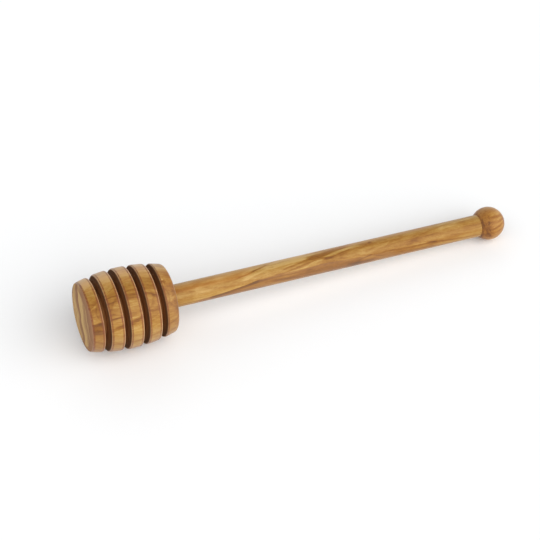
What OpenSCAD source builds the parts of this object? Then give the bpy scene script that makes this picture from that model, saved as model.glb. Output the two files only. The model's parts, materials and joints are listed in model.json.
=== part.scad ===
// Honey dipper in three glued pieces: a turned head with rings, a straight round handle and a
// ball knob, all on one axis.
// It lies on its side on the plane z = 0, on the middle of its head and on its knob. The head is
// at the -X end, and the origin is below the middle of the length. Sizes are in millimetres.

/* [Head] */
// Diameter of the head's barrel shape at its middle, the widest place
head_d = 30; // [26:0.5:38]
// Number of rings
ring_count = 5; // [3:1:7]
// Width of a ring along the head's axis
ring_w = 5; // [4:0.1:7]
// Width of the groove between two rings
groove_w = 2.05; // [1.5:0.05:3.5]
// Diameter of the core at the bottom of the grooves
core_d = 16; // [14:0.5:20]
// Radius of the lengthwise curve that makes the head a barrel
barrel_r = 58; // [45:1:90]
// Width of the shallow bevel round the front face, across the face
bevel_w = 2.1; // [1:0.1:3]
// Depth of that bevel along the axis
bevel_l = 0.5; // [0.3:0.1:1]
// Rounding of the ring edges
arris_r = 0.6; // [0.3:0.05:0.9]
// Rounding of the back shoulder, where the handle goes in
shoulder_r = 1.4; // [0.8:0.1:2.5]

/* [Handle] */
// Diameter of the handle
handle_d = 8.6; // [7:0.1:10]
// Length of the handle between the head and the knob
handle_l = 128; // [90:1:180]

/* [Knob] */
// Diameter of the ball
knob_d = 13; // [11:0.5:20]

/* [Glued joints] */
// Thickness of the wood left between the socket and the front face
socket_floor = 13.2; // [5:0.1:16]
// Diameter of the tenon that holds the knob
tenon_d = 5.4; // [4:0.1:6]
// Length of the tenon
tenon_l = 6.5; // [4:0.1:8]
// Gap for glue round the handle and the tenon
glue_gap = 0.05; // [0.02:0.01:0.2]
// Depth of the pocket for glue at the bottom of each hole
glue_pocket = 0.5; // [0.2:0.1:1.5]
// Chamfer on the ends of the handle and the tenon
end_chamfer = 0.5; // [0.2:0.1:1]

/* [Hidden] */
$fn = 128;

handle_r = handle_d / 2;
knob_r = knob_d / 2;
tenon_r = tenon_d / 2;
ring_pitch = ring_w + groove_w;
head_l = ring_count * ring_pitch - groove_w;

// The barrel's curve is an arc, whose centre lies past the head's axis by this much. In the
// head's section, x is the distance from the axis and y the distance from the front face.
arc_past_axis = barrel_r - head_d / 2;
barrel_centre = [-arc_past_axis, head_l / 2];
// Radius of the barrel at a distance from the front face
function rim_r(s) = sqrt(barrel_r ^ 2 - (s - head_l / 2) ^ 2) - arc_past_axis;
// Radius of the flat front face inside its bevel
face_r = rim_r(bevel_l) - bevel_w;

// Depth of the socket that the handle goes into
socket_depth = head_l - socket_floor;

// The ball has a flat seat as wide as the handle, at this distance from its centre
seat_to_centre = sqrt(knob_r ^ 2 - handle_r ^ 2);
// Distance of the ball's centre from the front face
knob_along = head_l + handle_l + seat_to_centre;

// The axis falls towards the knob by this angle when the barrel's arc and the ball both touch
// the plane. The grooves take away the lowest line of the arc, so that the rings beside it
// stay about 0.02 above the plane.
rest_run = knob_along - head_l / 2;
rest_span = norm([rest_run, arc_past_axis]);
head_fall = asin((barrel_r - knob_r) / rest_span) - atan2(arc_past_axis, rest_run);

// Height of the front face's centre, and the two ends of the length seen from there
nose_z = knob_r + knob_along * sin(head_fall);
front_end = -face_r * sin(head_fall);
back_end = knob_along * cos(head_fall) + knob_r;
nose_x = -(front_end + back_end) / 2;

// Cuts reach past the solid by this much
past = 1;
// The circle of a rounding stands out of the barrel's curve by this much, to cross it cleanly
proud = 0.003;

// The dipper's place: +Z runs along its axis from the front face to the knob, and -X is up
module in_place() {
    translate([nose_x, 0, nose_z]) rotate([0, 90 + head_fall, 0]) children();
}

// The handle's place: the same, from the mouth of the head's socket
module from_mouth() {
    in_place() translate([0, 0, head_l]) children();
}

// What is cut off the edge between a ring's front wall and the barrel's curve to round it by r.
// The wall goes outwards from the point start and leans back by the angle lean. The rounding is
// a circle that touches the wall from inside and meets the barrel's curve at a very flat angle.
module edge_cut(start, r, lean = 0) {
    outwards = [cos(lean), sin(lean)];
    inwards = [-sin(lean), cos(lean)];
    seat = start + r * inwards - barrel_centre;
    along = seat * outwards;
    arm_l = barrel_r + proud - r;
    arm = seat + outwards * (sqrt(along ^ 2 - seat * seat + arm_l ^ 2) - along);
    to_wall = -(r + past) * inwards;
    to_barrel = (r + past) * arm / arm_l;
    translate(barrel_centre + arm) difference() {
        polygon([[0, 0], to_wall, to_wall + to_barrel, to_barrel]);
        circle(r);
    }
}

// The barrel is alike at both ends, so the back edges are cut as front edges seen from the back
module seen_from_back() {
    translate([0, head_l]) mirror([0, 1]) children();
}

// Half of the head's section
module head_section() {
    difference() {
        intersection() {
            square([head_d, head_l]);
            translate(barrel_centre) circle(barrel_r);
        }
        for (i = [1:ring_count - 1]) {
            wall = i * ring_pitch;
            translate([core_d / 2, wall - groove_w]) square([head_d, groove_w]);
            edge_cut([0, wall], arris_r);
            seen_from_back() edge_cut([0, wall], arris_r);
        }
        polygon([[face_r, 0], [face_r, -past], [head_d, -past], [head_d, 0], [face_r + bevel_w, bevel_l]]);
        edge_cut([face_r, 0], arris_r, lean = atan2(bevel_l, bevel_w));
        seen_from_back() edge_cut([0, 0], shoulder_r);
    }
}

// Section of the handle with its tenon: distance from the axis along x, from the mouth along y
module handle_section() {
    buried = glue_pocket - socket_depth;
    tip = handle_l + tenon_l;
    polygon([
        [0, buried],
        [handle_r - end_chamfer, buried],
        [handle_r, buried + end_chamfer],
        [handle_r, handle_l],
        [tenon_r, handle_l],
        [tenon_r, tip - end_chamfer],
        [tenon_r - end_chamfer, tip],
        [0, tip]
    ]);
}

module head() {
    color("#c39a5e") difference() {
        in_place() rotate_extrude() head_section();
        from_mouth() translate([0, 0, -socket_depth])
            cylinder(r = handle_r + glue_gap, h = socket_depth + past);
    }
}

module handle() {
    color("#cfa66a") from_mouth() rotate_extrude() handle_section();
}

module knob() {
    color("#b58a52") from_mouth() difference() {
        translate([0, 0, handle_l + seat_to_centre]) sphere(knob_r);
        translate([0, 0, handle_l - knob_r]) cylinder(r = knob_r, h = knob_r);
        translate([0, 0, handle_l - past])
            cylinder(r = tenon_r + glue_gap, h = tenon_l + glue_pocket + past);
    }
}

head();
handle();
knob();
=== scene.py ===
import json
from math import asin, cos, hypot, pi, radians, sin, sqrt, tan

import bmesh
import bpy
from mathutils import Matrix, Vector


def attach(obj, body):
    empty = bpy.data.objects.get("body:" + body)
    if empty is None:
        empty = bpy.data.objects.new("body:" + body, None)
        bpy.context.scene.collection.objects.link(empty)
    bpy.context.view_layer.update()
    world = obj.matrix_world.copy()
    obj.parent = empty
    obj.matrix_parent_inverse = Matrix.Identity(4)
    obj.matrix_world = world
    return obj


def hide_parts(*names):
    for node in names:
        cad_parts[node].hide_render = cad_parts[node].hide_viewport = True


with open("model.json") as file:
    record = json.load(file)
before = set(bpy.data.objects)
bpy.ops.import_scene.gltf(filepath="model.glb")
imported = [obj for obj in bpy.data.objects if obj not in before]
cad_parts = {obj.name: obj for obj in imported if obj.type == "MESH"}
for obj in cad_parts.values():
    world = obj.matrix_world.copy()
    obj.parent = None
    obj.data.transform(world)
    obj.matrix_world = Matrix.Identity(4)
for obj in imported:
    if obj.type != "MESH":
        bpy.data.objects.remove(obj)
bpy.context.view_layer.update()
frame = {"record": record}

# The dipper is turned, so all of it is described on its one axis: how far along it from the
# head's front face, how far out from it, and how far round it, in degrees from the top towards
# the camera's side. These are in millimetres, and the frame is in metres.
MM = 0.001

# Head
HEAD_R = 15.0
BARREL_R = 58.0
RINGS = 5
RING_W = 5.0
GROOVE_W = 2.05
CORE_R = 8.0
BEVEL_W = 2.1
BEVEL_L = 0.5
ARRIS_R = 0.6
SHOULDER_R = 1.4
SOCKET_FLOOR = 13.2

# Handle, knob and their joints
HANDLE_R = 4.3
HANDLE_L = 128.0
KNOB_R = 6.5
TENON_R = 2.7
TENON_L = 6.5
GLUE_GAP = 0.05
GLUE_POCKET = 0.5
END_CHAMFER = 0.5

# Sanded edges that the solids leave sharp
BEVEL_EASE = 1.5
FACE_EDGE = 0.4
GROOVE_EASE = 0.3
MOUTH_EASE = 0.25
SEAT_EASE = 0.3

# Steps of a full turn and of a rounded edge, and points of a ring's curve and of the ball's
TURN_STEPS = 192
EDGE_STEPS = 7
RING_POINTS = 5
BALL_POINTS = 44
# A ring's curve stays clear of its front and back edges by this many times their rounding
CLEAR_OF_FRONT = 2.0
CLEAR_OF_BACK = 1.3
# Profile of a bevel that is an arc of a circle
ARC = 0.5
# Edges with a larger angle than this are drawn sharp, and points nearer than this are joined
SHARP_EDGE = radians(35)
DOUBLES = 1e-4

PITCH = RING_W + GROOVE_W
HEAD_L = RINGS * PITCH - GROOVE_W
PAST_AXIS = BARREL_R - HEAD_R
KNOB_SEAT = HEAD_L + HANDLE_L
KNOB_AT = KNOB_SEAT + sqrt(KNOB_R ** 2 - HANDLE_R ** 2)

# The axis, from the flat mount on the head's front face
end_face = next(mount for mount in frame["record"]["mounts"] if mount["name"] == "end_face")
NOSE = Vector(end_face["pos_m"])
FALL = asin(end_face["axis"][2])
PLACE = Matrix.Translation(NOSE) @ Matrix.Rotation(FALL, 4, "Y") @ Matrix.Scale(MM, 4)


# Turned shapes

def rim(along):
    """Radius of the head's barrel shape."""
    return sqrt(BARREL_R ** 2 - (along - HEAD_L / 2) ** 2) - PAST_AXIS


FACE_R = rim(BEVEL_L) - BEVEL_W


def between(low, high, count):
    """Evenly spaced values from low to high."""
    return [low + (high - low) * i / (count - 1) for i in range(count)]


def add_object(name, data):
    """Puts a new object into the scene."""
    thing = bpy.data.objects.new(name, data)
    bpy.context.scene.collection.objects.link(thing)
    return thing


def add_shape(name, shape):
    """Puts a finished shape into the scene."""
    mesh = bpy.data.meshes.new(name)
    shape.to_mesh(mesh)
    shape.free()
    return add_object(name, mesh)


def ease_corner(shape, corner, radius):
    """Rounds one corner of an outline by a radius."""
    ways = [(edge.other_vert(corner).co - corner.co).normalized() for edge in corner.link_edges]
    offset = radius / tan(ways[0].angle(ways[1]) / 2)
    bmesh.ops.bevel(
        shape, geom=[corner], offset=offset, offset_type="OFFSET", segments=EDGE_STEPS,
        profile=ARC, affect="VERTICES", material=-1,
    )


def turned(name, outline):
    """A piece turned from half its section, whose corners are (along, out, rounding)."""
    shape = bmesh.new()
    corners = [shape.verts.new((along, 0, out)) for along, out, _ in outline]
    for pair in zip(corners, corners[1:]):
        shape.edges.new(pair)
    for corner, (_, _, rounding) in zip(corners, outline):
        if rounding:
            ease_corner(shape, corner, rounding)
    bmesh.ops.spin(
        shape, geom=shape.verts[:] + shape.edges[:], cent=(0, 0, 0), axis=(1, 0, 0),
        angle=2 * pi, steps=TURN_STEPS, use_merge=True,
    )
    bmesh.ops.remove_doubles(shape, verts=shape.verts, dist=DOUBLES)
    bmesh.ops.recalc_face_normals(shape, faces=shape.faces)
    shape.transform(PLACE)
    piece = add_shape(name, shape)
    piece.data.shade_smooth()
    piece.data.set_sharp_from_angle(angle=SHARP_EDGE)
    return piece


def head_outline():
    """Half of the head's section, from its front face round to the bottom of its socket."""
    outline = [(0, 0, 0), (0, FACE_R - FACE_EDGE, 0), (0, FACE_R, BEVEL_EASE)]
    for ring in range(RINGS):
        last = ring == RINGS - 1
        front = ring * PITCH if ring else BEVEL_L
        back = ring * PITCH + RING_W
        rounding = SHOULDER_R if last else ARRIS_R
        outline.append((front, rim(front), ARRIS_R))
        first, final = front + CLEAR_OF_FRONT * ARRIS_R, back - CLEAR_OF_BACK * rounding
        outline += [(along, rim(along), 0) for along in between(first, final, RING_POINTS)]
        outline.append((back, rim(back), rounding))
        if not last:
            outline += [(back, CORE_R, GROOVE_EASE), (back + GROOVE_W, CORE_R, GROOVE_EASE)]
    socket_r = HANDLE_R + GLUE_GAP
    outline += [(HEAD_L, socket_r, MOUTH_EASE), (SOCKET_FLOOR, socket_r, 0), (SOCKET_FLOOR, 0, 0)]
    return outline


def handle_outline():
    """Half of the handle's section, from its end in the head to the tip of its tenon."""
    buried = SOCKET_FLOOR + GLUE_POCKET
    tip = KNOB_SEAT + TENON_L
    return [
        (buried, 0, 0),
        (buried, HANDLE_R - END_CHAMFER, 0),
        (buried + END_CHAMFER, HANDLE_R, 0),
        (KNOB_SEAT, HANDLE_R, 0),
        (KNOB_SEAT, TENON_R, 0),
        (tip - END_CHAMFER, TENON_R, 0),
        (tip, TENON_R - END_CHAMFER, 0),
        (tip, 0, 0),
    ]


def knob_outline():
    """Half of the knob's section, from the bottom of its hole over its seat and the ball."""
    hole_r = TENON_R + GLUE_GAP
    hole_end = KNOB_SEAT + TENON_L + GLUE_POCKET
    hole = [(hole_end, 0, 0), (hole_end, hole_r, 0), (KNOB_SEAT, hole_r, 0)]
    seat_angle = pi - asin(HANDLE_R / KNOB_R)
    turns = between(seat_angle, 0, BALL_POINTS)[1:]
    ball = [(KNOB_AT + KNOB_R * cos(turn), KNOB_R * sin(turn), 0) for turn in turns]
    return [*hole, (KNOB_SEAT, HANDLE_R, SEAT_EASE), *ball]


# Shader nodes

# Sockets of a mix node that blends colours
MIX_A = 6
MIX_B = 7
MIXED = 2
# Noise over a place: scale, detail, roughness, and the share of the scale that counts along
# the grain
SWIRL_NOISE = (0.07, 2.0, 0.5, 0.3)
PORE_NOISE = (4.5, 1.0, 0.5, 0.12)
RAGGED_NOISE = (0.8, 3.0, 0.6, 0.25)
FACE_NOISE = (0.16, 1.3, 0.4, 1.0)
BROKEN_NOISE = (1.3, 2.0, 0.5, 1.0)
DOT_NOISE = (1.8, 1.0, 0.5, 1.0)
# Layers of the fibre: share and noise
FIBRE_LAYERS = [
    (0.42, (0.9, 3.0, 0.6, 0.05)),
    (0.18, (3.5, 2.0, 0.6, 0.06)),
    (0.22, (1.7, 1.0, 0.5, 0.22)),
    (0.18, (2.4, 1.0, 0.5, 0.45)),
]
# Bands across one direction: scale, detail and roughness
GROWTH_BANDS = (1.0, 3.0, 0.55)
FACE_BANDS = (0.55, 3.0, 0.6)
# Where the noise turns from dark to pale growth, where a growth line lies in it, and where a
# pore begins and is full
GROWTH_SPAN = (0.32, 0.68)
GROWTH_LINE = 0.46
GROWTH_LINE_HALF = 0.03
PORE_SPAN = (0.64, 0.74)
# What is drawn on the wood is pushed about this much more along the grain than across it
LENGTHWAYS = 3.0
# A vein fades in and out over this length on both sides of its ends
VEIN_FADE = 1.5
# A stain is full out to this share of its reach
STAIN_FULL = 0.35

# Colour of oiled olive wood, from 0, a dark vein, to 1, the palest wood
OLIVE_STOPS = [
    (0.00, (0.070, 0.023, 0.004)),
    (0.20, (0.145, 0.050, 0.006)),
    (0.40, (0.215, 0.083, 0.010)),
    (0.60, (0.284, 0.133, 0.021)),
    (0.80, (0.354, 0.196, 0.045)),
    (1.00, (0.444, 0.278, 0.090)),
]

# How far inside a ring's front and back edges the burnt lines run
FRONT_LINE_IN = 0.55
BACK_LINE_IN = 0.75
# Where the dark line just behind the front bevel runs
BRIM_AT = 0.95
# Where each mark on the head begins or ends, the painted shade in the grooves' mouths among them: by the
# distance from a ring's edge, from the middle of a line, from the head's ends, and in depth below the
# barrel's curve
ARRIS_SPAN = (0.25, 0.55)
LINE_SPAN = (0.10, 0.36)
BRIM_SPAN = (0.15, 0.50)
ENDS_SPAN = (1.6, 2.2)
RIM_SPAN = (0.5, 0.8)
GROOVE_SPAN = (0.12, 0.38)
# Painted shade on the grooves' walls: full near their mouths and gone at this depth
MOUTH_SHADE_SPAN = (0.6, 4.0)
# The front face's wood ends over this span, just behind its bevel
FACE_SPAN = (BEVEL_L, BEVEL_L + 0.8 * ARRIS_R)


class Nodes:
    """Adds nodes to one tree. An input may be a number, a tuple or another node's output."""

    def __init__(self, tree):
        self.tree = tree

    def add(self, kind, inputs=None, **settings):
        """A new node with its settings and inputs."""
        node = self.tree.nodes.new("ShaderNode" + kind)
        for name, value in settings.items():
            setattr(node, name, value)
        for name, value in (inputs or {}).items():
            self.put(node.inputs[name], value)
        return node

    def put(self, socket, value):
        """Links a socket to another node's output, or sets it to a plain value."""
        if isinstance(value, bpy.types.NodeSocket):
            self.tree.links.new(value, socket)
        else:
            socket.default_value = value

    def math(self, operation, *values):
        """One step of arithmetic."""
        return self.add("Math", dict(enumerate(values)), operation=operation).outputs[0]

    def vector(self, operation, *values):
        """One step of arithmetic on vectors."""
        return self.add("VectorMath", dict(enumerate(values)), operation=operation).outputs[0]

    def hypot(self, one, other):
        """Length of the hypotenuse over two sides."""
        squares = [self.math("POWER", side, 2.0) for side in (one, other)]
        return self.math("SQRT", self.math("ADD", *squares))

    def gap(self, value, other):
        """How far apart two values are."""
        return self.math("ABSOLUTE", self.math("SUBTRACT", value, other))

    def ease(self, value, low, high):
        """0 below low, 1 above high and smooth between them."""
        inputs = {"Value": value, "From Min": low, "From Max": high}
        return self.add("MapRange", inputs, interpolation_type="SMOOTHSTEP").outputs[0]

    def fade(self, value, low, high):
        """1 below low, 0 above high and smooth between them."""
        return self.math("SUBTRACT", 1.0, self.ease(value, low, high))

    def spread(self, value, low, high):
        """A value from 0 to 1 spread from low to high."""
        return self.add("MapRange", {"Value": value, "To Min": low, "To Max": high}).outputs[0]

    def noise(self, point, scale, detail, roughness, along):
        """Noise as a number and as a colour. The grain runs along X."""
        if along < 1:
            point = self.vector("MULTIPLY", point, (along, 1, 1))
        inputs = {"Vector": point, "Scale": scale, "Detail": detail, "Roughness": roughness}
        return self.add("TexNoise", inputs).outputs

    def bands(self, across, scale, detail, roughness):
        """Noise that changes across one direction only."""
        inputs = {"W": across, "Scale": scale, "Detail": detail, "Roughness": roughness}
        return self.add("TexNoise", inputs, noise_dimensions="1D").outputs[0]

    def mix(self, share, under, over):
        """One colour blended with another. Each is (red, green, blue) or a node's output."""
        node = self.add("Mix", {0: share}, data_type="RGBA")
        for index, colour in ((MIX_A, under), (MIX_B, over)):
            self.put(node.inputs[index], (*colour, 1) if isinstance(colour, tuple) else colour)
        return node.outputs[MIXED]

    def use(self, group, **inputs):
        """Places a shared group. An input's name is written with _ for a space."""
        node = self.add("Group")
        node.node_tree = group
        for name, value in inputs.items():
            self.put(node.inputs[name.replace("_", " ")], value)
        return node.outputs


def new_group(name, inputs, outputs):
    """An empty shader group: its nodes, its input sockets and a function that sets an output."""
    tree = bpy.data.node_groups.new(name, "ShaderNodeTree")
    for kind, sockets in (("INPUT", inputs), ("OUTPUT", outputs)):
        for socket, form in sockets.items():
            tree.interface.new_socket(socket, in_out=kind, socket_type="NodeSocket" + form)
    inside = tree.nodes.new("NodeGroupInput").outputs
    result = tree.nodes.new("NodeGroupOutput").inputs
    nodes = Nodes(tree)
    return tree, nodes, inside, lambda socket, value: nodes.put(result[socket], value)


def make_place():
    """Where a point lies on the dipper, in millimetres and degrees."""
    outputs = {"Point": "Vector", "Along": "Float", "Out": "Float", "Round": "Float"}
    tree, nodes, _, give = new_group("Place on the dipper", {}, outputs)
    inputs = {
        "Vector": nodes.add("TexCoord").outputs["Object"],
        "Location": NOSE, "Rotation": (0, FALL, 0), "Scale": (MM, MM, MM),
    }
    point = nodes.add("Mapping", inputs, vector_type="TEXTURE").outputs[0]
    along, side, up = nodes.add("SeparateXYZ", {0: point}).outputs
    angle = nodes.math("ARCTAN2", nodes.math("MULTIPLY", side, -1.0), up)
    give("Point", point)
    give("Along", along)
    give("Out", nodes.hypot(side, up))
    give("Round", nodes.math("DEGREES", angle))
    return tree


def make_grain():
    """Olive wood cut anywhere in the log. X runs along the grain, in millimetres."""
    inputs = {"Point": "Vector", "Band": "Float", "Swirl": "Float"}
    outputs = dict.fromkeys(("Growth", "Line", "Fibre", "Pore"), "Float")
    tree, nodes, given, give = new_group("Olive grain", inputs, outputs)
    slow = nodes.noise(given["Point"], *SWIRL_NOISE)[1]
    centred = nodes.vector("SUBTRACT", slow, (0.5, 0.5, 0.5))
    push = nodes.add("VectorMath", {0: centred, "Scale": given["Swirl"]}, operation="SCALE").outputs[0]
    swirled = nodes.vector("ADD", given["Point"], push)
    _, side, up = nodes.add("SeparateXYZ", {0: swirled}).outputs
    year = nodes.math("DIVIDE", nodes.hypot(side, up), given["Band"])
    growth = nodes.bands(year, *GROWTH_BANDS)
    give("Growth", nodes.ease(growth, *GROWTH_SPAN))
    give("Line", nodes.fade(nodes.gap(growth, GROWTH_LINE), 0.0, GROWTH_LINE_HALF))
    fibre = 0.0
    for share, noise in FIBRE_LAYERS:
        layer = nodes.math("MULTIPLY", nodes.noise(swirled, *noise)[0], share)
        fibre = nodes.math("ADD", fibre, layer)
    give("Fibre", fibre)
    give("Pore", nodes.ease(nodes.noise(swirled, *PORE_NOISE)[0], *PORE_SPAN))
    return tree


def make_olive():
    """Colour of the wood by its tone."""
    tree, nodes, given, give = new_group("Olive colour", {"Tone": "Float"}, {"Color": "Color"})
    ramp = nodes.add("ValToRGB", {0: given["Tone"]})
    marks = ramp.color_ramp.elements
    while len(marks) < len(OLIVE_STOPS):
        marks.new(0.5)
    for mark, (place, colour) in zip(marks, OLIVE_STOPS):
        mark.position = place
        mark.color = (*colour, 1)
    give("Color", ramp.outputs[0])
    return tree


def make_ragged():
    """The same place pushed about a little, so that what is drawn there has natural edges."""
    inputs = {"Point": "Vector", "Along": "Float", "Round": "Float", "Out": "Float", "Push": "Float"}
    tree, nodes, given, give = new_group("Ragged place", inputs, {"Along": "Float", "Round": "Float"})
    sideways, colour = nodes.noise(given["Point"], *RAGGED_NOISE)
    sideways = nodes.math("SUBTRACT", sideways, 0.5)
    lengthways = nodes.math("SUBTRACT", nodes.add("SeparateXYZ", {0: colour}).outputs[1], 0.5)
    shift = nodes.math("MULTIPLY", given["Push"], 2.0)
    arc = nodes.math("DIVIDE", nodes.math("MULTIPLY", sideways, shift), given["Out"])
    run = nodes.math("MULTIPLY", nodes.math("MULTIPLY", lengthways, shift), LENGTHWAYS)
    give("Along", nodes.math("ADD", given["Along"], run))
    give("Round", nodes.math("ADD", given["Round"], nodes.math("DEGREES", arc)))
    return tree


def make_vein():
    """A vein along the grain round the angle Middle, with one softness above it and one below."""
    names = ("Along", "Round", "Middle", "Start", "End", "Half Width", "Soft Above", "Soft Below")
    tree, nodes, given, give = new_group("Vein", dict.fromkeys(names, "Float"), {"Mask": "Float"})
    off = nodes.math("SUBTRACT", given["Round"], given["Middle"])
    below = nodes.math("SUBTRACT", off, given["Half Width"])
    above = nodes.math("SUBTRACT", nodes.math("MULTIPLY", off, -1.0), given["Half Width"])
    below = nodes.math("DIVIDE", below, given["Soft Below"])
    above = nodes.math("DIVIDE", above, given["Soft Above"])
    inside = nodes.fade(nodes.math("MAXIMUM", above, below), 0.0, 1.0)
    from_start = nodes.math("SUBTRACT", given["Along"], given["Start"])
    from_end = nodes.math("SUBTRACT", given["End"], given["Along"])
    reach = nodes.ease(nodes.math("MINIMUM", from_start, from_end), -VEIN_FADE, VEIN_FADE)
    give("Mask", nodes.math("MULTIPLY", inside, reach))
    return tree


def make_stain():
    """A soft blot that reaches a length along the grain and a turn round it."""
    names = ("Along", "Round", "At", "At Round", "Length", "Turn")
    tree, nodes, given, give = new_group("Stain", dict.fromkeys(names, "Float"), {"Mask": "Float"})
    run = nodes.math("DIVIDE", nodes.math("SUBTRACT", given["Along"], given["At"]), given["Length"])
    turn = nodes.math("DIVIDE", nodes.math("SUBTRACT", given["Round"], given["At Round"]), given["Turn"])
    give("Mask", nodes.fade(nodes.hypot(run, turn), STAIN_FULL, 1.0))
    return tree


def make_ring_marks():
    """Marks on the head: ring edges that are worn and carry a painted highlight, a burnt line beside each,
    a line behind the front bevel, bare grooves with painted shade near their mouths, and the front face."""
    outputs = dict.fromkeys(("Arris", "Line", "Groove", "Mouth Shade", "Face"), "Float")
    tree, nodes, given, give = new_group("Ring marks", {"Along": "Float", "Out": "Float"}, outputs)
    along = given["Along"]
    run = nodes.math("SUBTRACT", along, HEAD_L / 2)
    height = nodes.math("SQRT", nodes.math("SUBTRACT", BARREL_R ** 2, nodes.math("POWER", run, 2.0)))
    depth = nodes.math("SUBTRACT", nodes.math("SUBTRACT", height, PAST_AXIS), given["Out"])
    from_ends = nodes.math("MINIMUM", along, nodes.math("SUBTRACT", HEAD_L, along))
    inside = nodes.ease(from_ends, *ENDS_SPAN)
    on_rings = nodes.math("MULTIPLY", nodes.fade(depth, *RIM_SPAN), inside)
    in_ring = nodes.math("FLOORED_MODULO", along, PITCH)
    from_front = nodes.math("ADD", in_ring, BACK_LINE_IN - FRONT_LINE_IN)
    from_edge = nodes.math("MINIMUM", from_front, nodes.math("SUBTRACT", RING_W, in_ring))
    arris = nodes.fade(from_edge, *ARRIS_SPAN)
    line = nodes.fade(nodes.gap(from_edge, BACK_LINE_IN), *LINE_SPAN)
    brim = nodes.fade(nodes.gap(along, BRIM_AT), *BRIM_SPAN)
    give("Arris", nodes.math("MULTIPLY", arris, on_rings))
    give("Line", nodes.math("MAXIMUM", nodes.math("MULTIPLY", line, on_rings), brim))
    give("Groove", nodes.math("MULTIPLY", nodes.ease(depth, *GROOVE_SPAN), inside))
    give("Mouth Shade", nodes.fade(depth, *MOUTH_SHADE_SPAN))
    give("Face", nodes.fade(along, *FACE_SPAN))
    return tree


place_group = make_place()
grain_group = make_grain()
olive_group = make_olive()
ragged_group = make_ragged()
vein_group = make_vein()
stain_group = make_stain()
ring_marks_group = make_ring_marks()


# Wood

# Parts of the grain: how much each shifts the tone, and the value at which it shifts nothing
GRAIN_SHIFTS = (("Growth", 0.22, 0.5), ("Line", -0.14, 0.0), ("Fibre", 1.25, 0.5))
PORE_COLOUR = (0.16, 0.07, 0.025)
PORE_SHARE = 0.35

# Surfaces: roughness, shine and sheen, where the wood is oiled and where it is bare
OILED = dict(rough=0.34, shine=0.25, sheen=0.22)
BARE = dict(rough=0.74, shine=0.08, sheen=0.0)
FIBRE_ROUGHNESS = 0.25
SHEEN_ROUGHNESS = 0.4
WOOD_IOR = 1.47
# Height of the relief that fibre and pores make, and how strongly it shows
RELIEF = 0.03 * MM
RELIEF_STRENGTH = 0.25


class Wood:
    """One piece's olive wood while it is put together. Its tone runs from 0, dark, to 1, pale."""

    def __init__(self, name, tone, grain_turn, pith, band, swirl, push, start=0.0):
        self.material = bpy.data.materials.new(name)
        self.material.use_nodes = True
        tree = self.material.node_tree
        tree.nodes.clear()
        self.nodes = Nodes(tree)
        self.place = self.nodes.use(place_group)
        inputs = {"Vector": self.place["Point"], "Location": pith, "Rotation": grain_turn}
        in_log = self.nodes.add("Mapping", inputs, vector_type="TEXTURE").outputs[0]
        self.grain = self.nodes.use(grain_group, Point=in_log, Band=band, Swirl=swirl)
        self.ragged = self.nodes.use(
            ragged_group, Point=self.place["Point"], Along=self.place["Along"],
            Round=self.place["Round"], Out=self.place["Out"], Push=push,
        )
        self.start = start
        self.tone = tone
        for part, amount, rest in GRAIN_SHIFTS:
            self.shift(self.grain[part], amount, rest)

    def shift(self, mask, amount, rest=0.0):
        """Shifts the tone by the amount times how far the mask is from rest."""
        nodes = self.nodes
        change = nodes.math("MULTIPLY", nodes.math("SUBTRACT", mask, rest), amount)
        self.tone = nodes.math("ADD", self.tone, change)

    def vein_mask(self, half_width, soft, route):
        """Where a vein runs through the (along, round) points of its route."""
        nodes = self.nodes
        soft_above, soft_below = soft if isinstance(soft, tuple) else (soft, soft)
        start, end = route[0][0], route[-1][0]
        turns = [turn for _, turn in route]
        low, high = min(turns) - 1, max(turns) + 1
        along = nodes.math("SUBTRACT", self.ragged["Along"], self.start)
        share = nodes.add("MapRange", {"Value": along, "From Min": start, "From Max": end})
        curve = nodes.add("FloatCurve", {"Value": share.outputs[0]})
        points = curve.mapping.curves[0].points
        while len(points) < len(route):
            points.new(0.5, 0.5)
        for point, (at, turn) in zip(points, route):
            point.location = ((at - start) / (end - start), (turn - low) / (high - low))
        curve.mapping.update()
        middle = nodes.spread(curve.outputs[0], low, high)
        mask = nodes.use(
            vein_group, Along=along, Round=self.ragged["Round"], Middle=middle,
            Start=start, End=end, Half_Width=half_width, Soft_Above=soft_above, Soft_Below=soft_below,
        )
        return mask[0]

    def stain_mask(self, at, at_round, length, turn):
        """Where a stain lies."""
        mask = self.nodes.use(
            stain_group, Along=self.ragged["Along"], Round=self.ragged["Round"],
            At=at + self.start, At_Round=at_round, Length=length, Turn=turn,
        )
        return mask[0]

    def draw(self, veins, stains):
        """Draws veins and stains, each paler or darker by its amount."""
        for amount, *vein in veins:
            self.shift(self.vein_mask(*vein), amount)
        for amount, *stain in stains:
            self.shift(self.stain_mask(*stain), amount)

    def colour(self, tints=()):
        """Colour of the wood with its pores, and with other colours drawn on it like veins."""
        nodes = self.nodes
        wood = nodes.use(olive_group, Tone=self.tone)[0]
        colour = nodes.mix(nodes.math("MULTIPLY", self.grain["Pore"], PORE_SHARE), wood, PORE_COLOUR)
        for other, share, *vein in tints:
            colour = nodes.mix(nodes.math("MULTIPLY", self.vein_mask(*vein), share), colour, other)
        return colour

    def finish(self, colour, rough, shine, sheen):
        """Ends the material with its surface."""
        nodes = self.nodes
        relief = nodes.math("SUBTRACT", self.grain["Fibre"], self.grain["Pore"])
        bump = {"Height": relief, "Strength": RELIEF_STRENGTH, "Distance": RELIEF}
        normal = nodes.add("Bump", bump).outputs[0]
        roughness = nodes.math("ADD", nodes.math("MULTIPLY", self.grain["Fibre"], FIBRE_ROUGHNESS), rough)
        surface = nodes.add("BsdfPrincipled", {
            "Base Color": colour, "Roughness": roughness, "IOR": WOOD_IOR, "Specular IOR Level": shine,
            "Sheen Weight": sheen, "Sheen Roughness": SHEEN_ROUGHNESS, "Normal": normal,
        })
        out = nodes.add("OutputMaterial")
        nodes.put(out.inputs["Surface"], surface.outputs[0])
        return self.material


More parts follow.
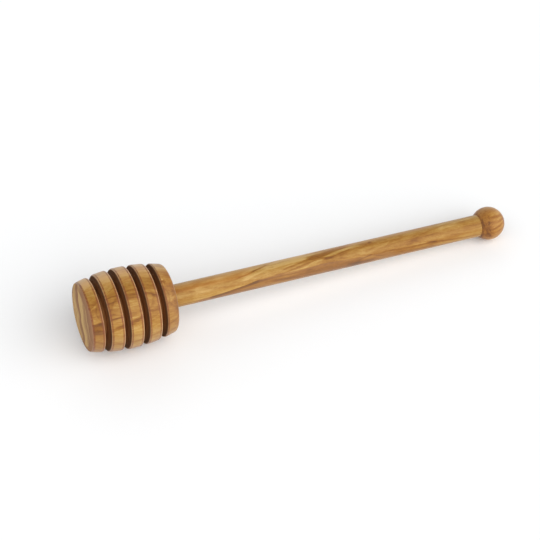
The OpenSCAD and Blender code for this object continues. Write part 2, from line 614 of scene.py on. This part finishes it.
# Each piece's wood: its tone, how its grain is turned and where its pith lies, the width of the
# growth bands, how far they swirl and how far its veins are pushed about
HEAD_GRAIN = dict(
    tone=0.61, grain_turn=(0.3, 0.12, -0.1), pith=(0, 16, -14), band=5.0, swirl=5.0, push=0.5,
)
HANDLE_GRAIN = dict(
    tone=0.72, grain_turn=(0.2, 0.05, 0.04), pith=(60, 11, -12), band=4.0, swirl=3.0, push=0.25,
)
KNOB_GRAIN = dict(
    tone=0.69, grain_turn=(0.1, -0.25, 0.3), pith=(165, 9, -6), band=3.0, swirl=3.0, push=0.4,
)

# Other colours drawn on the wood: warm and orange wood, and a painted sheen that is pale on tops and milky
# low down and on the camera's side
SHEEN_PALE = (0.66, 0.36, 0.17)
SHEEN_MILKY = (0.29, 0.155, 0.070)
WARM = (0.47, 0.19, 0.05)
ORANGE = (0.66, 0.28, 0.06)

# What is drawn on each piece, in degrees from the top and in millimetres from where the piece
# comes into sight.
# Veins: paler or darker by, half width, softness, and a route of (along, round) points. A
# softness of two numbers is above and below the vein.
# Stains: paler or darker by, along, round, and how far they reach along and round.
# Tints: colour, share, and half width, softness and route as for a vein.
HEAD_VEINS_AND_SHEEN = [
    # All along: painted sheen, paler at the back of the top and low on the camera's side
    (0.28, 24, 12, [(-2, -30), (28, -30)]),
    (0.12, 24, 12, [(27, -32), (35, -32)]),
    (0.10, 14, 8, [(-2, 4), (35, 4)]),
    (0.12, 15, 12, [(5, 100), (35, 98)]),
    # First ring
    (0.22, 12, 8, [(-2, -16), (5.5, -16)]),
    (-0.10, 8, 8, [(-2, 19), (5.5, 19)]),
    (-0.16, 5, (3, 6), [(-2, 36), (6, 35)]),
    (0.22, 0.8, 1.8, [(0.3, 47), (1.5, 39), (4, 33), (6, 31)]),
    (-0.34, 7, (2, 7), [(-2, 70), (6, 68)]),
    (-0.14, 1.6, 2.5, [(-2, 65), (6, 62)]),
    (-0.14, 2.0, 3, [(-2, 77), (6, 75)]),
    (-0.04, 16, 8, [(-2, 96), (5.5, 94)]),
    (-0.12, 3, 3, [(-2, 86), (6, 85)]),
    # Second ring
    (0.07, 12, 6, [(6, -14), (13, -14)]),
    (-0.08, 12, 6, [(6, 46), (13, 46)]),
    (-0.22, 0.6, 1.4, [(6, 31), (9.5, 27), (13, 29)]),
    (-0.20, 0.6, 1.2, [(6, 37), (9.5, 35), (13, 38)]),
    (0.08, 2, 2, [(6, 41), (13, 42)]),
    (0.14, 1.5, (4, 1), [(6, 59), (13, 55)]),
    (-0.24, 0.6, 1.4, [(6, 62), (9, 58.5), (13, 58)]),
    (0.14, 4, 2, [(6, 66), (13, 63)]),
    (-0.28, 1.8, (1.6, 2.2), [(6, 78), (9, 74), (13, 70)]),
    # Third ring
    (-0.10, 8, 6, [(13, -8), (20, -8)]),
    (-0.26, 2.4, (4, 2), [(13, 34), (16, 33), (20, 35)]),
    (0.03, 4.5, (2, 4), [(13, 43), (20, 43)]),
    (-0.10, 3, 3, [(13, 52), (20, 52)]),
    (0.18, 1.5, 2.0, [(13, 65), (16, 62), (20, 56)]),
    (-0.20, 1.4, (1.2, 2.0), [(13, 71), (15.5, 68.5), (17, 67), (18, 64), (20, 61)]),
    (0.10, 3, 3, [(13, 77), (16, 75), (20, 70)]),
    # Fourth ring
    (-0.22, 8, 5, [(20, -8), (27, -8)]),
    (0.10, 3, 4, [(20, 4), (27, 4)]),
    (-0.08, 8, 5, [(20, 15), (27, 15)]),
    (0.20, 1.0, 1.6, [(20, 29), (23, 30), (27, 33)]),
    (-0.26, 0.8, (1.2, 3), [(20, 31), (22.5, 33), (24, 36), (27, 41)]),
    (0.04, 12, 4, [(20, 52), (27, 54)]),
    (-0.18, 0.8, 1.8, [(20, 57), (23, 59), (27, 60)]),
    (-0.12, 4, 4, [(20, 79), (27, 76)]),
    # Fifth ring
    (0.24, 8, 8, [(27, -18), (30.2, -18)]),
    (-0.14, 4, 4, [(31, 12), (36, 12)]),
    (-0.18, 5, 5, [(27, 4), (34, 6)]),
    (0.10, 3, 4, [(27, 12), (29.8, 12)]),
    (-0.06, 10, 4, [(27, 22), (34, 22)]),
    (-0.14, 30, 10, [(31.6, 34), (37, 34)]),
    (-0.12, 1.5, 2.5, [(29.5, 22), (31, 28), (33, 30)]),
    (-0.16, 1.5, 2.5, [(30, 56), (31.5, 62), (33, 70)]),
    (-0.08, 4, 4, [(27, 36), (34, 38)]),
    (0.14, 4, 4, [(28, 48), (32, 46)]),
    (-0.10, 12, 8, [(27, 66), (34, 66)]),
    (-0.18, 1.5, 3, [(28, 88), (34, 80)]),
    (-0.08, 8, 6, [(27, 96), (34, 96)]),
]
HEAD_STAINS = [
    (0.26, 28.7, 15, 0.9, 4),
    (-0.34, 29.4, 20, 0.8, 5),
    (0.30, 28.8, 24, 0.9, 4),
    (-0.24, 32.2, 93, 1.6, 8),
    (-0.14, 32.4, 50, 1.2, 40),
]
HEAD_TINTS_AND_SHEEN = [
    # Orange and warm wood, and painted sheen: pale on the top, milky low down and on the camera's side
    (ORANGE, 0.14, 11, 8, [(-2, -6), (27, -6)]),
    (WARM, 0.14, 26, 10, [(27, 4), (36, 4)]),
    (SHEEN_PALE, 0.26, 18, 12, [(-2, -31), (27, -31)]),
    (SHEEN_MILKY, 0.14, 34, 10, [(27, 64), (36, 64)]),
    (SHEEN_MILKY, 0.18, 16, 10, [(30, 82), (36, 82)]),
    (SHEEN_MILKY, 0.20, 12, 6, [(-2, 90), (5.5, 90)]),
    (SHEEN_MILKY, 0.16, 8, 6, [(6, 98), (27, 98)]),
]

# The middle of the brown wood on the handle's lower side
BROWN_ROUTE = [
    (10, 131), (17, 127), (20, 123), (25, 115), (30, 106), (34, 97), (38, 94), (44, 90),
    (52, 94), (60, 90), (68, 96), (76, 100),
]
HANDLE_VEINS_AND_SHEEN = [
    # The golden wood that climbs round the handle, with a crisp lower edge
    (0.12, 30, (12, 1.5), [
        (-4, 67), (12, 66), (17, 63), (20, 59), (25, 51), (30, 42), (34, 33), (38, 28), (42, 20),
        (46, 5), (50, -2), (54, -16), (58, -30),
    ]),
    (0.18, 18, (16, 4), [(28, 36), (34, 16), (38, 6), (44, 2), (52, -2), (55, -14)]),
    (0.08, 24, 10, [(14, 32), (20, 28)]),
    (-0.08, 10, 6, [(23, 20), (28, 14)]),
    (0.09, 14, 8, [(47, 0), (52, -6)]),
    # Painted sheen: paler at the top all along
    (0.12, 16, 20, [(-4, -14), (100, -14)]),
    # Browner patches lower down
    (-0.12, 10, 8, [(16, 114), (38, 112)]),
    (-0.16, 12, 8, [(73, 108), (81, 108)]),
    (-0.08, 10, 10, [(-4, 78), (24, 72)]),
    # Orange-brown wood near the head, with paler patches
    (-0.12, 12, (14, 5), [(-4, 16), (4, 18), (12, 8)]),
    (-0.16, 34, 10, [(-4, 62), (5, 62), (9, 68)]),
    (-0.12, 8, 8, [(-4, 30), (8, 30)]),
    (-0.12, 18, 8, [(9, 6), (18, 2)]),
    (0.08, 6, 6, [(10, 14), (22, 12)]),
    (0.12, 10, 6, [(18, 22), (26, 18)]),
    (-0.08, 10, 8, [(29, 14), (34, 12)]),
    (-0.07, 12, 10, [(34, -12), (42, -14)]),
    # The dark vein above the golden wood
    (-0.07, 6, (20, 3), [(18, 41), (23, 35), (28, 26), (31, 19), (34, 10), (38, -6), (43, -21)]),
    (-0.28, 1.5, (4, 1.2), [(26, 33), (28, 28), (31, 21), (33, 15.5), (35, 9)]),
    (-0.40, 3, (6, 1.2), [(32.5, 14), (35, 7), (37, 0), (39, -8)]),
    # The brown wood below it, darkest along its edge
    (-0.26, 32, (2, 12), BROWN_ROUTE),
    (-0.40, 3.5, (1.2, 12), [(15, 99), (18, 94), (20, 92), (25, 84), (30, 75), (34, 66)]),
    # Streaks where the golden wood ends
    (-0.20, 2.5, (2, 3), [(44, 40), (47, 34), (50, 29), (53, 23), (56, 16)]),
    (0.06, 3, 3, [(44, 48), (48, 41), (52, 33)]),
    (-0.16, 1.2, 3, [(34, 70), (40, 68), (46, 70), (50, 72)]),
    (0.12, 1.5, 3, [(33, 82), (38, 79), (44, 77), (50, 79)]),
    (0.16, 1.0, 2.5, [(45, 69), (49, 66), (52, 62)]),
    (-0.12, 1.5, 3, [(40, 92), (50, 88), (60, 86)]),
    (-0.18, 1.2, 3, [(45, 56), (48, 49), (51, 43), (54, 38), (57, 32)]),
    (0.20, 2.5, (3, 6), [(44, 64), (48, 60), (52, 54), (55, 46), (58, 38), (61, 34)]),
    (-0.28, 9, (10, 4), [(55, 8), (56, 14), (60, 12), (64, 2), (68, -6), (72, -14)]),
    (0.18, 3.5, 4, [(61.5, 24), (65, 18), (69, 11), (74, 4)]),
    (-0.26, 4, 5, [(60, 28), (62, 33), (65, 35)]),
    (-0.24, 1.5, 4, [(64, 34), (67, 27), (70, 20), (72, 16)]),
    # Golden wood past the middle, with short dark dashes
    (0.08, 18, 8, [(68, 58), (74, 50), (80, 48)]),
    (-0.12, 12, 8, [(60, 52), (70, 42)]),
    (-0.14, 14, 8, [(78, 56), (90, 54), (104, 50)]),
    (-0.10, 8, 6, [(82, 66), (98, 66)]),
    (0.10, 5, 5, [(89, 46), (97, 45)]),
    (0.14, 2.5, 5, [(78, 55), (82, 45), (86, 36), (88, 27), (89, 18)]),
    (-0.26, 1.5, 4, [(75, 82), (78, 74), (80, 68)]),
    (-0.24, 2, 4, [(81.5, 75), (83, 80), (85.5, 86)]),
    (-0.18, 2, 5, [(85, 68), (88, 69), (92, 74), (97, 77), (104, 79)]),
    (-0.12, 16, 12, [(70, 104), (80, 102), (92, 98), (108, 96)]),
    # Near the knob
    (-0.08, 18, 12, [(88, 34), (102, 30)]),
    (-0.07, 12, 10, [(80, 6), (96, 4)]),
    (-0.10, 8, 6, [(86, 26), (94, 24)]),
    (0.10, 3.5, 5, [(98, 62), (104, 66), (112, 63)]),
    (-0.12, 2, 5, [(97, 80), (102, 77), (108, 79)]),
    (-0.18, 24, 12, [(104, 62), (132, 64)]),
    (0.08, 10, 8, [(119, 76), (131, 74)]),
    (0.10, 20, 10, [(110, -2), (130, 0)]),
    (-0.12, 8, 8, [(102, 30), (110, 30)]),
    (-0.16, 14, 10, [(119, 18), (130, 24)]),
]
HANDLE_STAINS = [
    (-0.20, 79, 4, 3.5, 14),
    (-0.24, 81.2, 0, 1.2, 8),
    (-0.16, 77, 100, 9, 18),
    (-0.16, 54.5, 74, 1.8, 8),
    (-0.14, 94, 4, 1.5, 10),
]
HANDLE_TINTS_AND_SHEEN = [
    # Painted sheen, milky over the brown wood low down and pale on the top, and warm wood near the head
    (SHEEN_MILKY, 0.26, 32, (2, 12), BROWN_ROUTE + [(90, 110)]),
    (SHEEN_PALE, 0.16, 16, 12, [(30, -28), (108, -28)]),
    (WARM, 0.24, 22, 12, [(-4, 8), (24, 6), (32, -8)]),
]

KNOB_VEINS = [
    # Browner near the seat
    (-0.14, 90, 20, [(-2, 40), (3, 60)]),
    (-0.12, 50, 16, [(-2, 92), (4, 96)]),
    # Golden and dark streaks
    (0.16, 5, 6, [(2.5, 12), (4.5, 18), (7.7, 14), (10, 4)]),
    (-0.16, 1.5, 4, [(3, 27), (5, 31), (8, 27), (10, 18)]),
    (0.12, 2, 4, [(3, 38), (6, 40), (9, 33), (11, 24)]),
    (-0.16, 1.5, 4, [(4, 50), (6, 50), (9, 42), (11, 32)]),
    (0.12, 3, 4, [(3.5, 62), (6, 60), (9, 50), (11, 40)]),
    (-0.24, 1.5, 4, [(2.5, 74), (5, 70), (8, 59), (11, 42)]),
    (0.08, 3, 4, [(4, 80), (6, 76), (9, 66)]),
    (-0.18, 2, 5, [(2.5, 88), (6, 84), (9, 76)]),
]
KNOB_STAINS = [
    (-0.30, 2.4, 47, 0.7, 7),
    (-0.28, 2.0, 97, 1.8, 16),
    (-0.10, 1.5, 70, 1.5, 18),
]
KNOB_TINTS = [
    (WARM, 0.14, 130, 30, [(-2, 20), (14, 20)]),
    (WARM, 0.10, 30, 20, [(-2, -20), (14, -20)]),
]


# Materials

# The front face's lines lie slantwise: what counts across them is this share of up and of side,
# pushed about by the swing
SLANT_UP = 0.43
SLANT_SIDE = -0.90
FACE_SWING = 5.5
# How far across the lines the dark heart line lies
HEART_AT = -2.1
# Where each dark part of the face begins or ends, and its share: in the dark bands, along the
# heart line, in a painted shade on the camera's side and in the fibre
BAND_SPAN, BAND_SHARE = (0.36, 0.58), 0.8
HEART_SPAN, HEART_SHARE = (0.1, 2.0), 0.8
SHADED_SIDE_SPAN, SHADED_SIDE_SHARE = (3.5, 7.0), 0.45
FIBRE_REST, FIBRE_SHARE = 0.5, 1.2
FACE_PALE = (0.480, 0.312, 0.135)
FACE_DARK = (0.250, 0.135, 0.072)
# The bevel's own colours begin this far out. On the camera's side it is painted a dark greyish brown that
# stands for its sheen, and low on the far side it is painted darkest, as a painted shadow.
BEVEL_SPAN = (FACE_R - 0.4, FACE_R + 0.3)
BEVEL_SHEEN_SPAN, BEVEL_SHEEN_SHARE, BEVEL_SHEEN_COLOUR = (-4.0, 4.0), 0.8, (0.255, 0.132, 0.074)
BEVEL_SHADOW_SPAN, BEVEL_SHADOW_SHARE, BEVEL_SHADOW_COLOUR = (1.0, 7.0), 0.7, (0.16, 0.070, 0.030)

# The burnt lines: how they shift the wood's tone, their colour, the noise that breaks them up,
# and the share of the colour that is left there
LINE_TONE = -0.10
LINE_COLOUR = (0.17, 0.050, 0.018)
BREAK_SPAN = (0.35, 0.6)
BROKEN_SHARE = 0.5
# The ring edges, worn and with a painted highlight, and the grooves: shares and colours. The grooves' walls
# carry painted shade near the mouth and are painted paler deeper down, against the shade that falls there.
ARRIS_WEAR_AND_HIGHLIGHT_SHARE, ARRIS_WEAR_AND_HIGHLIGHT_COLOUR = 0.6, (0.45, 0.240, 0.130)
GROOVE_SHARE = 0.93
WALL_COLOUR = (0.360, 0.155, 0.055)
MOUTH_SHADE_COLOUR = (0.105, 0.048, 0.025)
# The veins are drawn from this far out, and the core is left plain
VEINED_SPAN = (9.5, 12.5)

# The knob, by the distance from its seat: dark beside the seat, with a painted dark reflection at the far
# end, and dark in small dots
SEAT_SPAN, SEAT_TONE = (0.3, 1.0), -0.25
DARK_REFLECTION_SPAN, DARK_REFLECTION_TONE = (8.5, 11.0), -0.35
DOT_SPAN, DOTTED_SPAN, DOT_TONE = (0.56, 0.68), (2.5, 5.5), -0.24


def end_grain(wood):
    """Colour of the front face, with lines slantwise over it and a painted shade on the camera's side, and
    of the bevel round it, with a painted sheen and a painted shadow.
    """
    nodes = wood.nodes
    _, side, up = nodes.add("SeparateXYZ", {0: wood.place["Point"]}).outputs
    wave = nodes.noise(wood.place["Point"], *FACE_NOISE)[0]
    swing = nodes.math("MULTIPLY", nodes.math("SUBTRACT", wave, 0.5), FACE_SWING)
    slant = nodes.math("ADD", nodes.math("MULTIPLY", up, SLANT_UP), nodes.math("MULTIPLY", side, SLANT_SIDE))
    across = nodes.math("ADD", slant, swing)
    masks = (
        (nodes.fade(nodes.bands(across, *FACE_BANDS), *BAND_SPAN), BAND_SHARE),
        (nodes.fade(nodes.gap(across, HEART_AT), *HEART_SPAN), HEART_SHARE),
        # painted shade on the camera's side of the face
        (nodes.ease(across, *SHADED_SIDE_SPAN), SHADED_SIDE_SHARE),
        (nodes.math("SUBTRACT", FIBRE_REST, wood.grain["Fibre"]), FIBRE_SHARE),
    )
    dark = 0.0
    for mask, share in masks:
        dark = nodes.math("ADD", nodes.math("MULTIPLY", mask, share), dark)
    dark = nodes.add("Clamp", {"Value": dark}).outputs[0]
    colour = nodes.mix(dark, FACE_PALE, FACE_DARK)
    on_bevel = nodes.ease(wood.place["Out"], *BEVEL_SPAN)
    # painted sheen on the bevel, on the camera's side
    bevel_sheen = nodes.math("MULTIPLY", on_bevel, nodes.ease(across, *BEVEL_SHEEN_SPAN))
    colour = nodes.mix(nodes.math("MULTIPLY", bevel_sheen, BEVEL_SHEEN_SHARE), colour, BEVEL_SHEEN_COLOUR)
    away = nodes.math("MULTIPLY", nodes.math("SUBTRACT", side, up), sqrt(0.5))
    # painted shadow on the bevel, low on the far side
    bevel_shadow = nodes.math("MULTIPLY", on_bevel, nodes.ease(away, *BEVEL_SHADOW_SPAN))
    return nodes.mix(nodes.math("MULTIPLY", bevel_shadow, BEVEL_SHADOW_SHARE), colour, BEVEL_SHADOW_COLOUR)


def head_colour(wood, tints=()):
    """The head's colour with its front face, the marks that turning left on it, a painted highlight on the
    ring edges and painted shade in the grooves' mouths.
    """
    nodes = wood.nodes
    marks = nodes.use(ring_marks_group, Along=wood.place["Along"], Out=wood.place["Out"])
    wood.shift(marks["Line"], LINE_TONE)
    broken = nodes.ease(nodes.noise(wood.place["Point"], *BROKEN_NOISE)[0], *BREAK_SPAN)
    line = nodes.math("MULTIPLY", marks["Line"], nodes.spread(broken, 1.0, BROKEN_SHARE))
    colour = nodes.mix(marks["Face"], wood.colour(tints), end_grain(wood))
    colour = nodes.mix(line, colour, LINE_COLOUR)
    # Ring edges painted paler, partly for wear and partly as a painted highlight
    colour = nodes.mix(nodes.math("MULTIPLY", marks["Arris"], ARRIS_WEAR_AND_HIGHLIGHT_SHARE), colour, ARRIS_WEAR_AND_HIGHLIGHT_COLOUR)
    # Grooves' walls: painted shade near the mouth, painted paler deeper down against the shade there
    walls = nodes.mix(marks["Mouth Shade"], WALL_COLOUR, MOUTH_SHADE_COLOUR)
    return nodes.mix(nodes.math("MULTIPLY", marks["Groove"], GROOVE_SHARE), colour, walls)


def head_wood():
    """The rings, sanded and oiled."""
    wood = Wood("head_olive_wood", **HEAD_GRAIN)
    nodes = wood.nodes
    veined = nodes.ease(wood.place["Out"], *VEINED_SPAN)
    plain = wood.tone
    wood.draw(HEAD_VEINS_AND_SHEEN, HEAD_STAINS)
    drawn = nodes.math("SUBTRACT", wood.tone, plain)
    wood.tone = nodes.math("ADD", plain, nodes.math("MULTIPLY", drawn, veined))
    return wood.finish(head_colour(wood, HEAD_TINTS_AND_SHEEN), **OILED)


def bare_wood():
    """The front face and the grooves, cut across the grain and left dull."""
    wood = Wood("bare_olive_wood", **HEAD_GRAIN)
    return wood.finish(head_colour(wood), **BARE)


def handle_wood():
    """The handle, with its long veins."""
    wood = Wood("handle_olive_wood", start=HEAD_L, **HANDLE_GRAIN)
    wood.draw(HANDLE_VEINS_AND_SHEEN, HANDLE_STAINS)
    return wood.finish(wood.colour(HANDLE_TINTS_AND_SHEEN), **OILED)


def knob_wood():
    """The knob, dark and dotted near its seat."""
    wood = Wood("knob_olive_wood", start=KNOB_SEAT, **KNOB_GRAIN)
    wood.draw(KNOB_VEINS, KNOB_STAINS)
    nodes = wood.nodes
    from_seat = nodes.math("SUBTRACT", wood.place["Along"], KNOB_SEAT)
    wood.shift(nodes.fade(from_seat, *SEAT_SPAN), SEAT_TONE)
    # painted dark reflection on the ball's far end
    wood.shift(nodes.ease(from_seat, *DARK_REFLECTION_SPAN), DARK_REFLECTION_TONE)
    dots = nodes.ease(nodes.noise(wood.place["Point"], *DOT_NOISE)[0], *DOT_SPAN)
    wood.shift(nodes.math("MULTIPLY", dots, nodes.fade(from_seat, *DOTTED_SPAN)), DOT_TONE)
    return wood.finish(wood.colour(KNOB_TINTS), **OILED)


# Pieces

# The grooves are bare wood from this depth
BARE_DEPTH = 0.35


def put_on(name, outline, node, material):
    """A turned piece that stands for one solid of the frame."""
    piece = turned(name, outline)
    piece.data.materials.append(material)
    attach(piece, "root")
    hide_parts(node)
    return piece


def leave_bare(piece, material):
    """Gives the head a second material on its front face, in its grooves and in its socket."""
    piece.data.materials.append(material)
    to_axis = PLACE.inverted()
    for face in piece.data.polygons:
        along, side, up = to_axis @ face.center
        depth = rim(along) - hypot(side, up)
        under_rings = depth > BARE_DEPTH and along < HEAD_L - RING_W + ARRIS_R
        face.material_index = int(along < BEVEL_L or under_rings)


head = put_on("ringed_head", head_outline(), "head", head_wood())
leave_bare(head, bare_wood())
put_on("round_handle", handle_outline(), "handle", handle_wood())
put_on("ball_knob", knob_outline(), "knob", knob_wood())


# Floor, light and camera

FLOOR_SIZE = 12.0
FLOOR_COLOUR = (0.895, 0.90, 0.905, 1)
FLOOR_ROUGHNESS = 0.9

# Soft lights round the dipper: azimuth, elevation and brightness. Azimuth 0 is +X, and the
# camera stands at 248 degrees.
SOFT_LIGHTS = [
    (45, 12, 0.55),
    (90, 12, 0.8),
    (180, 12, 1.05),
    (270, 12, 0.3),
    (300, 12, 1.95),
    (330, 12, 1.15),
    (255, 40, 1.05),
]
# Brightness of the room between them
ROOM_LIGHT = 0.01
# Cosines at which a soft light begins and is full
LIGHT_EDGE = 0.45
LIGHT_FULL = 1.0

# The camera looks at its target, turned from +Y towards +X by its azimuth and downwards by its
# elevation
CAMERA_AZIMUTH = radians(22.44)
CAMERA_ELEVATION = radians(42.316)
CAMERA_TARGET = Vector((-12.463, 0, 13.772)) * MM
CAMERA_DISTANCE = 596.915 * MM
FRAME_PX = 540
FOCAL_PX = 1600
SENSOR_MM = 36


def make_floor():
    """A wide sheet of white paper."""
    shape = bmesh.new()
    bmesh.ops.create_grid(shape, x_segments=1, y_segments=1, size=FLOOR_SIZE / 2)
    floor = add_shape("floor", shape)
    paper = bpy.data.materials.new("floor_paper")
    paper.use_nodes = True
    surface = paper.node_tree.nodes["Principled BSDF"]
    surface.inputs["Base Color"].default_value = FLOOR_COLOUR
    surface.inputs["Roughness"].default_value = FLOOR_ROUGHNESS
    surface.inputs["Specular IOR Level"].default_value = 0.0
    floor.data.materials.append(paper)


def make_sky():
    """A dark room with soft lights all round, most of them low."""
    world = bpy.data.worlds.new("soft_lights")
    bpy.context.scene.world = world
    world.use_nodes = True
    world.node_tree.nodes.clear()
    nodes = Nodes(world.node_tree)
    towards = nodes.add("TexCoord").outputs["Generated"]
    total = ROOM_LIGHT
    for azimuth, elevation, strength in SOFT_LIGHTS:
        turn, rise = radians(azimuth), radians(elevation)
        way = (cos(turn) * cos(rise), sin(turn) * cos(rise), sin(rise))
        near = nodes.add("VectorMath", {0: towards, 1: way}, operation="DOT_PRODUCT").outputs["Value"]
        light = nodes.math("MULTIPLY", nodes.ease(near, LIGHT_EDGE, LIGHT_FULL), strength)
        total = nodes.math("ADD", light, total)
    sky = nodes.add("Background", {"Color": (1, 1, 1, 1), "Strength": total})
    out = nodes.add("OutputWorld")
    nodes.put(out.inputs["Surface"], sky.outputs[0])


def make_camera():
    """The camera, fitted to the outlines in the photograph."""
    data = bpy.data.cameras.new("camera")
    data.sensor_width = SENSOR_MM
    data.lens = FOCAL_PX / FRAME_PX * SENSOR_MM
    camera = add_object("camera", data)
    look = Vector((
        sin(CAMERA_AZIMUTH) * cos(CAMERA_ELEVATION),
        cos(CAMERA_AZIMUTH) * cos(CAMERA_ELEVATION),
        -sin(CAMERA_ELEVATION),
    ))
    camera.location = CAMERA_TARGET - look * CAMERA_DISTANCE
    camera.rotation_euler = look.to_track_quat("-Z", "Y").to_euler()
    bpy.context.scene.camera = camera


make_floor()
make_sky()
make_camera()
bpy.context.scene.view_settings.view_transform = "Standard"

bpy.context.view_layer.update()
